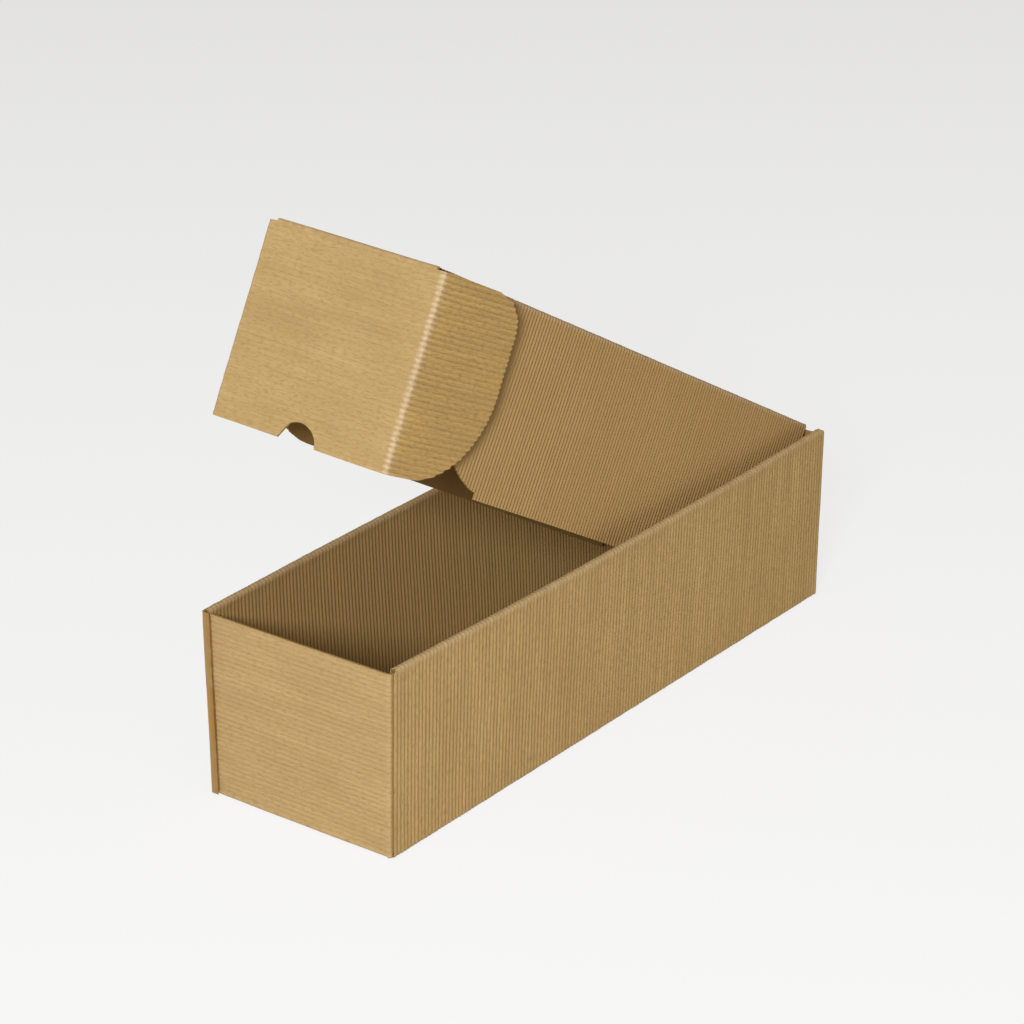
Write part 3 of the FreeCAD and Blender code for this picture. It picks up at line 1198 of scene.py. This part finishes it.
@dataclass
class CheekCut:
    """How a cheek's lower front corner is cut back.

    Args:
        front: from the lid's crease to the cheek's front edge.
        step: from the lid's crease to the arc's lower end.
        rise: how far the arc's lowest point lies above the lower edge.
    """

    front: float
    step: float
    rise: float


@dataclass
class Lid:
    """The lid's top panel with its two cheeks, modelled shut and then raised."""

    box: Box
    waves: int = 141
    overlength: float = 0.3
    half: float = 46.0
    drop: float = 0.4
    depth: float = 90.0
    setback: float = 1.3
    rear_slope: float = 9.7
    corner: float = 56.0
    corner_margin: float = 15.0
    hinge_margin: float = 1.0
    front_margin: float = 0.9
    cheek_press: float = 0.5
    cheek_height: float = 1.05
    cheek_paleness: float = 0.3
    # Painted shade on the cheeks' outer faces.
    cheek_painted_shade: float = 0.62
    right_cut: CheekCut = field(default_factory=lambda: CheekCut(314.0, 269.0, 2.0))
    left_cut: CheekCut = field(default_factory=lambda: CheekCut(331.0, 275.0, 0.0))

    def made(self) -> bpy.types.Object:
        """Build the shut lid.

        Returns:
            The lid, in millimetres and without thickness.
        """
        box = self.box
        top = box.height - self.drop
        pivot_x, pivot_z = self.half - FOLD, top - FOLD
        front = box.tuck_y + self.front_margin
        start = front - self.overlength
        right, left = mirrored((pivot_x, pivot_z), self.cheek_press, self.depth - FOLD, rows=6,
                               regain=self.cheek_height, paleness=self.cheek_paleness)
        lid = Board("lid_board", across=(EASE - pivot_x, pivot_x - EASE),
                    along=(start, start + self.waves * PITCH), top=top, rows=4,
                    right=right, left=left).made()
        with Bench(lid) as bench:
            bench.all().cut((0, box.hinge.y - self.hinge_margin, 0), (0, 1, 0))
            bench.all().cut((0, front, 0), (0, -1, 0))
            for side, cut in ((1, self.right_cut), (-1, self.left_cut)):
                self._cut_cheek(bench, side, cut, top, pivot_x)
            # Painted shade: the cheeks' outer faces are painted towards the liner's darker colour.
            bench.mark("inside", self.cheek_painted_shade,
                       lambda co: abs(co.x) > self.half - BETWEEN_LAYERS and co.z < pivot_z)
        return lid

    def _cut_cheek(self, bench: Bench, side: int, cut: CheekCut, top: float,
                   pivot_x: float) -> None:
        """Cut one cheek to its outline.

        Args:
            bench: the bench with the lid.
            side: 1 for the right cheek, -1 for the left.
            cut: how its corner is cut back.
            top: height of the lid's outer face.
            pivot_x: x of the cheek's fold.
        """
        rear = self.box.hinge.y
        fold_z = top - FOLD
        cheek: PlaceTest = lambda co: side * co.x > pivot_x
        bench.trim(cheek, (0, rear - self.setback, 0), (0, 1, 0))
        slope = math.atan2(self.rear_slope, self.depth - FOLD)
        bench.trim(lambda co: cheek(co) and co.z < fold_z, (0, rear - self.setback, fold_z),
                   (0, math.cos(slope), -math.sin(slope)))
        bench.trim(cheek, (0, rear - cut.front, 0), (0, -1, 0))
        bench.pick_faces(cheek)
        bench.cut((0, rear - cut.step, 0), (0, 1, 0), False)
        centre = Vector((0, rear - cut.front + self.corner,
                         top - self.depth + cut.rise + self.corner))
        bench.round_off(lambda co: (cheek(co) and co.y < rear - cut.step
                                    and co.z < centre.z + self.corner_margin),
                        centre, self.corner, facets(11), Vector((0, -1, 0)), Vector((0, 0, -1)))


@dataclass(frozen=True)
class Ear:
    """How an ear leaves the tuck flap.

    Args:
        side: 1 for the right one, -1 for the left.
        splay: degrees by which it stands out from square.
        paleness: how much its crease has whitened the paper.
        press: how much of the waves' height the crease leaves.
    """

    side: int
    splay: float
    paleness: float
    press: float


@dataclass
class TuckFlap:
    """The tuck flap with its two ears, modelled shut and then raised with the lid."""

    box: Box
    waves: int = 37
    overlength: float = 0.3
    half: float = 50.5
    face_gap: float = 1.7
    bottom: float = 1.8
    lean: float = 4.1
    ear_length: float = 60.8
    ear_slope: float = 0.055
    ear_top_radius: float = 17.0
    ear_low_radius: float = 45.0
    ear_ease: float = 1.5
    # Painted light on the ears.
    ear_painted_warm_light: float = 0.9
    shoulder: float = 92.3
    crease_half: float = 46.5
    crease_margin: float = 0.9
    notch_middle: float = -1.0
    notch_half: float = 10.6
    notch_depth: float = 9.2
    notch_arc: float = 125.0
    notch_steps: int = 12
    notch_lip: float = -11.8
    notch_margin: float = 8.0
    notch_overcut: float = 0.1
    margin: float = 3.0
    corner_cut: float = 1.5
    ear_height: float = 2.4
    # The right ear's crease is paler than the left's: paper whitening and a painted highlight
    # where the light catches the fold.
    right_ear: Ear = Ear(1, splay=2.5, paleness=0.5, press=0.45)
    left_ear: Ear = Ear(-1, splay=0.0, paleness=0.1, press=0.15)

    def made(self) -> bpy.types.Object:
        """Build the shut, leaning flap.

        Returns:
            The flap, in millimetres and without thickness.
        """
        box = self.box
        face = box.half_length - self.face_gap
        pivot_x, pivot_z = self.half - FOLD, face - FOLD
        crease_z = box.hinge.z
        upper = crease_z - self.crease_margin
        end = upper + self.overlength
        panel_x = pivot_x - self.ear_ease
        flap = Board("flap_board", across=(-panel_x, panel_x),
                     along=(end - self.waves * PITCH, end), top=face, rows=8,
                     right=self._wing(self.right_ear, pivot_x, pivot_z),
                     left=self._wing(self.left_ear, pivot_x, pivot_z),
                     layers=(CRUSHED, LINER)).made()
        with Bench(flap) as bench:
            bench.all().cut((0, self.bottom, 0), (0, -1, 0))
            bench.all().cut((0, upper, 0), (0, 1, 0))
            for side in (1, -1):
                way = Vector((side * (crease_z - self.shoulder), pivot_x - self.crease_half, 0))
                bench.trim(lambda co: side * co.x > 0 and co.z > pivot_z,
                           (side * self.crease_half, crease_z, 0), way)
                self._cut_ear(bench, side, face, pivot_x, pivot_z)
            bench.trim(lambda co: (co.x < 0 and co.z > pivot_z
                                   and co.y < self.bottom + self.margin),
                       (-self.half, self.bottom + self.corner_cut, 0), (-1, -1, 0))
            self._cut_notch(bench, face)
            # Painted light: the ears are painted brighter and warmer.
            bench.mark("warm", self.ear_painted_warm_light, lambda co: co.z < pivot_z)
            bench.all().turn(Axis.X, 90, ORIGIN)
            bench.turn(Axis.X, self.lean, (0, box.tuck_y, crease_z))
        return flap

    def _wing(self, ear: Ear, pivot_x: float, pivot_z: float) -> Wing:
        """Work out how one ear is folded from the flap.

        Args:
            ear: the ear.
            pivot_x: x of the right ear's fold.
            pivot_z: z of the ears' folds.

        Returns:
            The wing.
        """
        angle = math.radians(ear.splay)
        way = Vector((ear.side * math.sin(angle), -math.cos(angle)))
        return [Run((ear.side * self.ear_ease, 0)), Press(ear.press),
                Bend((ear.side * pivot_x, pivot_z), ear.side * (90 - ear.splay), ear.paleness,
                     steps=6),
                Run(tuple(way * self.ear_ease)), Press(self.ear_height / ear.press),
                Run(tuple(way * (self.ear_length - FOLD - self.ear_ease)), rows=6)]

    def _cut_ear(self, bench: Bench, side: int, face: float, pivot_x: float,
                 pivot_z: float) -> None:
        """Cut one ear to its outline.

        Args:
            bench: the bench with the flap.
            side: 1 for the right ear, -1 for the left.
            face: z of the flap's outer face.
            pivot_x: x of the ear's fold.
            pivot_z: z of the ear's fold.
        """
        ear: PlaceTest = lambda co: side * co.x > pivot_x
        rear = face - self.ear_length
        slope = math.atan(self.ear_slope)
        bench.trim(ear, (0, self.shoulder, pivot_z), (0, math.cos(slope), -math.sin(slope)))
        radius = self.ear_top_radius
        top = self.shoulder - self.ear_slope * self.ear_length
        middle = Vector((0, top - radius, rear + radius))
        bench.round_off(lambda co: (ear(co) and co.z < middle.z + self.margin
                                    and co.y > middle.y - self.margin),
                        middle, radius, facets(3), Vector((0, 0, -1)), Vector((0, 1, 0)))
        radius = self.ear_low_radius
        centre = Vector((0, self.bottom + radius, rear + radius))
        bench.round_off(lambda co: (ear(co) and co.y < centre.y + 2 * self.margin
                                    and co.z < centre.z + 2 * self.margin),
                        centre, radius, facets(10), Vector((0, 0, -1)), Vector((0, -1, 0)))

    def _cut_notch(self, bench: Bench, face: float) -> None:
        """Cut the thumb notch into the free edge.

        Args:
            bench: the bench with the flap.
            face: z of the flap's outer face.
        """
        half, depth = self.notch_half, self.notch_depth
        near: PlaceTest = lambda co: (abs(co.x) < half + self.notch_margin
                                      and co.y < self.bottom + depth + self.margin
                                      and co.z > face - self.margin)
        angles = [math.radians(self.notch_arc * index / self.notch_steps)
                  for index in range(self.notch_steps + 1)]
        corners = [Vector((self.notch_middle + half * math.cos(angle),
                           self.bottom + depth * math.sin(angle), 0)) for angle in angles]
        corners.append(Vector((self.notch_lip, self.bottom - self.notch_overcut, 0)))
        sides = [(first, Vector((second.y - first.y, first.x - second.x, 0)))
                 for first, second in zip(corners, corners[1:])]
        for point, way in sides:
            bench.pick_faces(near)
            bench.cut(point, way, False)
        bench.pick_faces(lambda co: near(co) and all(
            way.dot(Vector((co.x, co.y, 0)) - point) < 0 for point, way in sides))
        bpy.ops.mesh.delete(type="FACE")


@dataclass
class CreaseBand:
    """The pressed board of a crease that moves, from one panel round the hinge to the next.

    Args:
        name: the piece's name.
        half: half its length, along the crease.
        hinge: a point of the hinge.
        heading: degrees from +Y towards +Z of the way to the hinge.
        turn: degrees by which the way bends at the hinge, right-handed about +X.
        reach: how far the band runs into each panel.
        radius: of its bend.
        thickness: of the pressed board.
        columns: faces along the crease.
        tone: how far its colour is that of a wave's crest.
        paleness: how much the crease has whitened the paper.
    """

    name: str
    half: float
    hinge: Vector
    heading: float
    turn: float
    reach: float = 1.4
    radius: float = 0.75
    thickness: float = 1.25
    columns: int = 24
    tone: float = 0.5
    paleness: float = 0.12

    def made(self) -> bpy.types.Object:
        """Build the band.

        Returns:
            The band, in millimetres and with its thickness.
        """
        tangent = self.radius * math.tan(math.radians(self.turn) / 2)
        leg = self.reach - tangent
        band = grid(self.name, (self.columns, 2), (2 * self.half, leg), (0, -tangent - leg / 2, 0))
        with Bench(band) as bench:
            bench.begin_marks(crest=self.tone, crease=self.paleness, inside=0.0)
            bench.pick(lambda co: co.y > -tangent - TOUCHING)
            bench.sweep(Axis.X, self.turn, (0, -tangent, self.radius), steps=6)
            angle = math.radians(self.turn)
            bench.pull((0, leg * math.cos(angle), leg * math.sin(angle)))
            bench.all().turn(Axis.X, self.heading, ORIGIN)
            bench.move(self.hinge)
        measured(band, "across", lambda co: co.y)
        measured(band, "along", lambda co: co.x)
        return solid(band, self.thickness)


# ---- the studio ---------------------------------------------------------------------------------
@dataclass(frozen=True)
class Lamp:
    """A soft rectangular lamp that looks at the box.

    Args:
        name: the lamp's name.
        azimuth: degrees from the box's open end, towards +X.
        elevation: degrees above the floor.
        distance: metres from the box.
        size: edge length in metres.
        watts: its power.
        tint: its colour.
    """

    name: str
    azimuth: float
    elevation: float
    distance: float
    size: float
    watts: float
    tint: Colour = (1.0, 1.0, 1.0)

    def hang(self, target: Vector) -> None:
        """Hang the lamp.

        Args:
            target: the place it looks at.
        """
        way = heading(self.azimuth, self.elevation)
        data = bpy.data.lights.new(self.name, "AREA")
        data.energy = self.watts
        data.size = self.size
        data.color = self.tint
        lamp = bpy.data.objects.new(self.name, data)
        lamp.location = target + way * self.distance
        lamp.rotation_euler = (-way).to_track_quat("-Z", "Y").to_euler()
        bpy.context.scene.collection.objects.link(lamp)


@dataclass
class Studio:
    """The pale floor, the soft light and the camera."""

    floor_size: float = 14.0
    floor_gap: float = 0.0002
    floor_roughness: float = 0.95
    floor_tone: float = 0.80
    glow_span: Span = (-1.0, 2.5)
    near_glow: Tuple[float, float] = (0.15, 1.0)
    far_glow: Tuple[float, float] = (0.95, 0.81)
    glow: float = 1.03
    glow_share: float = 0.8
    world_tint: Colour = (0.215, 0.176, 0.136)
    camera_place: Tuple[float, float, float] = (0.9105, -1.2323, 0.7558)
    azimuth: float = 36.81
    elevation: float = 23.35
    roll: float = -0.09
    lens: float = 122.23
    film: float = 36.0
    clip: Span = (0.05, 60.0)
    aim: Tuple[float, float, float] = (0.0, 0.0, 0.1)
    lamps: Tuple[Lamp, ...] = (
        Lamp("key", azimuth=27.0, elevation=25.0, distance=2.6, size=0.5, watts=46.0,
             tint=(0.955, 1.0, 1.07)),
        Lamp("top", azimuth=30.0, elevation=75.0, distance=2.6, size=1.6, watts=9.5),
    )

    def build(self) -> None:
        """Lay the floor, hang the lamps and set up the camera."""
        self._floor()
        self._world()
        for lamp in self.lamps:
            lamp.hang(Vector(self.aim))
        self._camera()
        bpy.context.scene.view_settings.view_transform = "Standard"

    def _floor(self) -> None:
        """Lay the floor."""
        Bench.clear()
        bpy.ops.mesh.primitive_plane_add(size=self.floor_size, location=(0, 0, -self.floor_gap))
        floor = bpy.context.object
        floor.name = "floor"
        bpy.ops.object.transform_apply(location=True, rotation=True, scale=True)
        floor.data.materials.append(self._floor_paint())

    def _floor_paint(self) -> bpy.types.Material:
        """Build a pale paint that keeps a faint shadow and shows the camera a glow that darkens
        towards the back, a painted falloff of the light.

        Returns:
            The material.
        """
        paint = Paint("floor")
        shader = paint.nodes["Principled BSDF"]
        paint.feed(shader, {"Base Color": (self.floor_tone,) * 3,
                            "Roughness": self.floor_roughness, "Specular IOR Level": 0.0})
        place = paint.node("SeparateXYZ", {"Vector": paint.place}).outputs
        depth = paint.maths("MULTIPLY_ADD", place["X"], -math.tan(math.radians(self.azimuth)),
                            place["Y"])
        # Painted falloff: the glow is darker towards the back.
        tone = paint.node("ValToRGB", {"Fac": paint.ramp(depth, *self.glow_span)})
        stops = tone.color_ramp.elements
        for stop, (position, level) in ((stops[0], self.near_glow),
                                        (stops.new(self.far_glow[0]), self.far_glow)):
            stop.position = position
            stop.color = (level, level, level, 1.0)
        glow = paint.node("Emission", {"Color": tone.outputs["Color"], "Strength": self.glow})
        seen = paint.node("LightPath").outputs["Is Camera Ray"]
        mix = paint.node("MixShader", {"Fac": paint.maths("MULTIPLY", seen, self.glow_share),
                                       1: shader.outputs["BSDF"], 2: glow.outputs["Emission"]})
        paint.feed(paint.nodes["Material Output"], {"Surface": mix.outputs["Shader"]})
        return paint.material

    def _world(self) -> None:
        """Set the even light from all round."""
        world = bpy.data.worlds.new("studio")
        world.use_nodes = True
        background = world.node_tree.nodes["Background"]
        background.inputs["Color"].default_value = self.world_tint + (1.0,)
        background.inputs["Strength"].default_value = 1.0
        bpy.context.scene.world = world

    def _camera(self) -> None:
        """Place the camera."""
        back = heading(self.azimuth, self.elevation)
        data = bpy.data.cameras.new("camera")
        data.lens = self.lens
        data.sensor_width = self.film
        data.clip_start, data.clip_end = self.clip
        camera = bpy.data.objects.new("camera", data)
        camera.rotation_euler = (-back).to_track_quat("-Z", "Y").to_euler()
        camera.rotation_euler.rotate_axis("Z", math.radians(self.roll))
        camera.location = self.camera_place
        bpy.context.scene.collection.objects.link(camera)
        bpy.context.scene.camera = camera


# ---- putting it together ------------------------------------------------------------------------
@dataclass
class WineBox:
    """The whole box."""

    wardrobe: Wardrobe
    box: Box = field(default_factory=Box)
    twist: float = 2.3
    twist_x: float = 12.0
    twist_z: float = -10.0
    bow: float = 3.0
    left_recess: float = 0.9
    recess_depth: float = 61.0
    lid_half: float = 50.0
    lid_margin: float = 2.0
    crease_halves: Tuple[float, float] = (45.2, 44.0)
    wall_tops: Tuple[float, float] = (91.8, 90.6)
    blend_reach: float = 1.2
    lean: float = 0.8

    def build(self) -> None:
        """Build every piece, bend it as the real board has relaxed, and fix each piece but the two
        crease bands to its body.
        """
        box = self.box
        tray = self._tray()
        self._bow(tray)
        lid = Lid(box).made()
        tuck = TuckFlap(box)
        flap = tuck.made()
        tuck_half, hinge_half = self.crease_halves
        tuck_crease = CreaseBand("tuck_crease", tuck_half, Vector((0, box.tuck_y, box.hinge.z)),
                                 180, 90 + tuck.lean).made()
        lid_crease = CreaseBand("lid_crease", hinge_half, box.hinge, 90,
                                90 - box.open_angle).made()
        for piece in (lid, flap):
            thickened(piece)
        self._twist([lid, flap, tuck_crease])
        for piece in (lid, flap, tuck_crease):
            with Bench(piece) as bench:
                bench.all().turn(Axis.X, -box.open_angle, box.hinge)
        for piece in tray:
            thickened(piece)
            self._finish(piece, "tray")
        self._finish(lid, "lid")
        self._finish(flap, "tuck_flap")
        for piece, bodies, hinge, way in (
                (lid_crease, ("tray", "lid"), box.hinge, Vector((0, -1, 1))),
                (tuck_crease, ("lid", "tuck_flap"), box.tuck_hinge, Vector((0, 0.2, -1)))):
            self._finish(piece, None)
            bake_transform(piece)
        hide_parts("tray")
        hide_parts("lid")
        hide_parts("tuck_flap")

    def _tray(self) -> List[bpy.types.Object]:
        """Build the tray's pieces.

        Returns:
            Right and left wall, base, near and far wall.
        """
        walls = SideWall(self.box)
        ends = EndWall(self.box)
        return [
            walls.made(Side.RIGHT, near_trim=1.6, near_setback=3.4),
            walls.made(Side.LEFT, near_trim=0.0, near_setback=1.2, hem=4.9),
            Base(self.box).made(),
            ends.made("tray_near_wall", self.wall_tops[0], False),
            ends.made("tray_far_wall", self.wall_tops[1], True),
        ]

    def _bow(self, tray: Sequence[bpy.types.Object]) -> None:
        """Let the side walls bow out between the ends, most at their rims.

        Args:
            tray: the tray's pieces.
        """
        half = Vector((self.box.half_width, self.box.half_length, 0))
        high = Vector((half.x, half.y, self.box.height))

        def push(share: Vector) -> Vector:
            """Move a cage point of the tray.

            Args:
                share: its place, as shares of the cage.

            Returns:
                Its move.
            """
            out = 1 if share.x > 0.5 else -1
            bow = self.bow * math.sin(math.pi * share.y) * share.z
            return Vector((out * (bow + self.lean * (2 * share.z - 1)), 0, 0))

        def recess(share: Vector) -> Vector:
            """Move a cage point of the near wall: its left end stands back."""
            return Vector((0, self.left_recess * (1 - share.x) ** 2, 0))

        Warp(-half, high, (2, 7, 3), push).bend(tray)
        near_half = Vector((half.x, self.recess_depth, 0))
        middle = Vector((0, self.recess_depth - half.y, 0))
        Warp(middle - near_half, middle + near_half + Vector((0, 0, self.box.height)),
             (4, 2, 2), recess).bend([tray[3]])

    def _twist(self, pieces: Sequence[bpy.types.Object]) -> None:
        """Twist the lid along its length, and the flap with its end.

        Args:
            pieces: the shut pieces to twist.
        """
        box = self.box
        low = Vector((-self.lid_half, box.tuck_y - self.lid_margin, 0.0))
        high = Vector((self.lid_half, box.hinge.y, box.height))
        angle = math.radians(self.twist)

        def push(share: Vector) -> Vector:
            """Move a cage point of the lid.

            Args:
                share: its place, as shares of the cage.

            Returns:
                Its move.
            """
            x = low.x + share.x * (high.x - low.x) - self.twist_x
            z = low.z + share.z * (high.z - low.z) - box.hinge.z - self.twist_z
            turn = angle * (1 - share.y)
            return Vector((x * math.cos(turn) + z * math.sin(turn) - x, 0,
                           -x * math.sin(turn) + z * math.cos(turn) - z))

        Warp(low, high, (2, 4, 2), push).bend(pieces)

    def _finish(self, piece: bpy.types.Object, body: Optional[str]) -> None:
        """Give a piece its scale and finish, and fix it to its body if it has one.

        Args:
            piece: the mesh object, in millimetres.
            body: the body that it rides on; None for a piece that rides on none.
        """
        to_metres(piece)
        self.wardrobe.dress(piece, Finish.BOARD)
        if body:
            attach(piece, body)
        LOG.info("%s: %d faces, rides on %s", piece.name, len(piece.data.polygons), body)


def write_sizes() -> None:
    bpy.context.view_layer.update()


def main() -> None:
    """Build the studio and the box."""
    logging.basicConfig(level=logging.INFO, format="%(name)s: %(message)s")
    Studio().build()
    WineBox(Wardrobe()).build()
    write_sizes()


if __name__ == "__main__":
    main()
